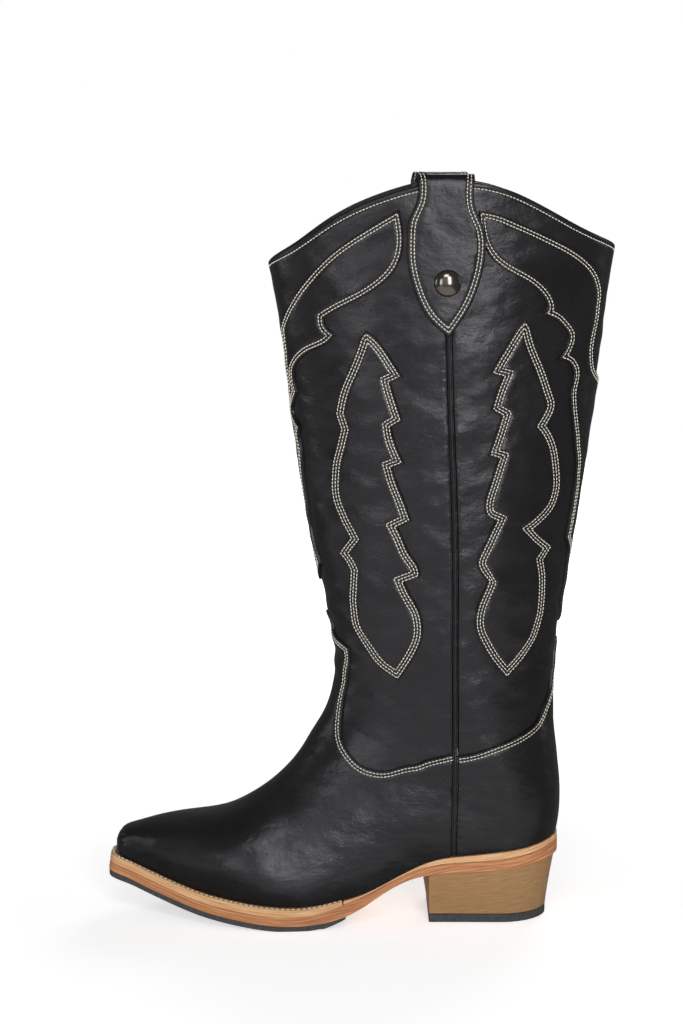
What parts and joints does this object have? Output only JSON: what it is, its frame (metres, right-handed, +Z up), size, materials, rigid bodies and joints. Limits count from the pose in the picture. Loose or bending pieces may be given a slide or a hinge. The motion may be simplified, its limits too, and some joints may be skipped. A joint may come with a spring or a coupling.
{
  "type": "cowboy boot",
  "caption": "Left western boot with a scalloped shaft, flame and feather overlays, pull straps, snip toe, welted sole and stacked underslung heel.",
  "frame": {"origin": "on the floor, under the centre of the box that holds the whole boot", "axes": "+Z up the shaft, toe towards -X, outer (lateral) side of this left boot towards -Y"},
  "size_m": [0.2958, 0.0978, 0.4379],
  "materials": {
    "black_leather": "smooth black leather with a satin sheen",
    "lining_leather": "matt vegetable-tanned lining",
    "leatherboard": "matt leather fibre board",
    "welt_leather": "undyed tan leather",
    "sole_leather": "red-brown waxed edge",
    "rubber": "matt dark grey rubber",
    "stacked_leather": "brown waxed stack of leather lifts",
    "cork": "matt cork filler",
    "steel": "plain steel",
    "gunmetal": "polished gunmetal plating",
    "cotton": "woven cotton"
  },
  "bodies": {
    "root": {"shaft_front_panel": "black_leather", "shaft_back_panel": "black_leather", "vamp": "black_leather", "heel_counter_cover": "black_leather", "side_seam_piping_outer": "black_leather", "side_seam_piping_inner": "black_leather", "flame_overlay_front": "black_leather", "flame_overlay_back": "black_leather", "feather_overlay_front_outer": "black_leather", "feather_overlay_front_inner": "black_leather", "feather_overlay_rear_outer": "black_leather", "feather_overlay_rear_inner": "black_leather", "pull_strap_outer": "black_leather", "pull_strap_inner": "black_leather", "stud_outer": "gunmetal", "stud_inner": "gunmetal", "stud_burr_outer": "steel", "stud_burr_inner": "steel", "shaft_lining_front": "lining_leather", "shaft_lining_back": "lining_leather", "vamp_lining": "lining_leather", "heel_lining": "lining_leather", "heel_stiffener": "leatherboard", "toe_puff": "leatherboard", "vamp_interlining": "cotton", "insole_board": "leatherboard", "sock_liner": "lining_leather", "shank": "steel", "cork_filler": "cork", "heel_seat_filler": "leatherboard", "welt": "welt_leather", "heel_rand": "welt_leather", "midsole": "sole_leather", "outsole_rubber": "rubber", "heel_block": "stacked_leather", "heel_top_lift": "rubber", "heel_nail_1": "steel", "heel_nail_2": "steel", "heel_nail_3": "steel", "heel_nail_4": "steel", "heel_nail_5": "steel"}
  },
  "joints": []
}
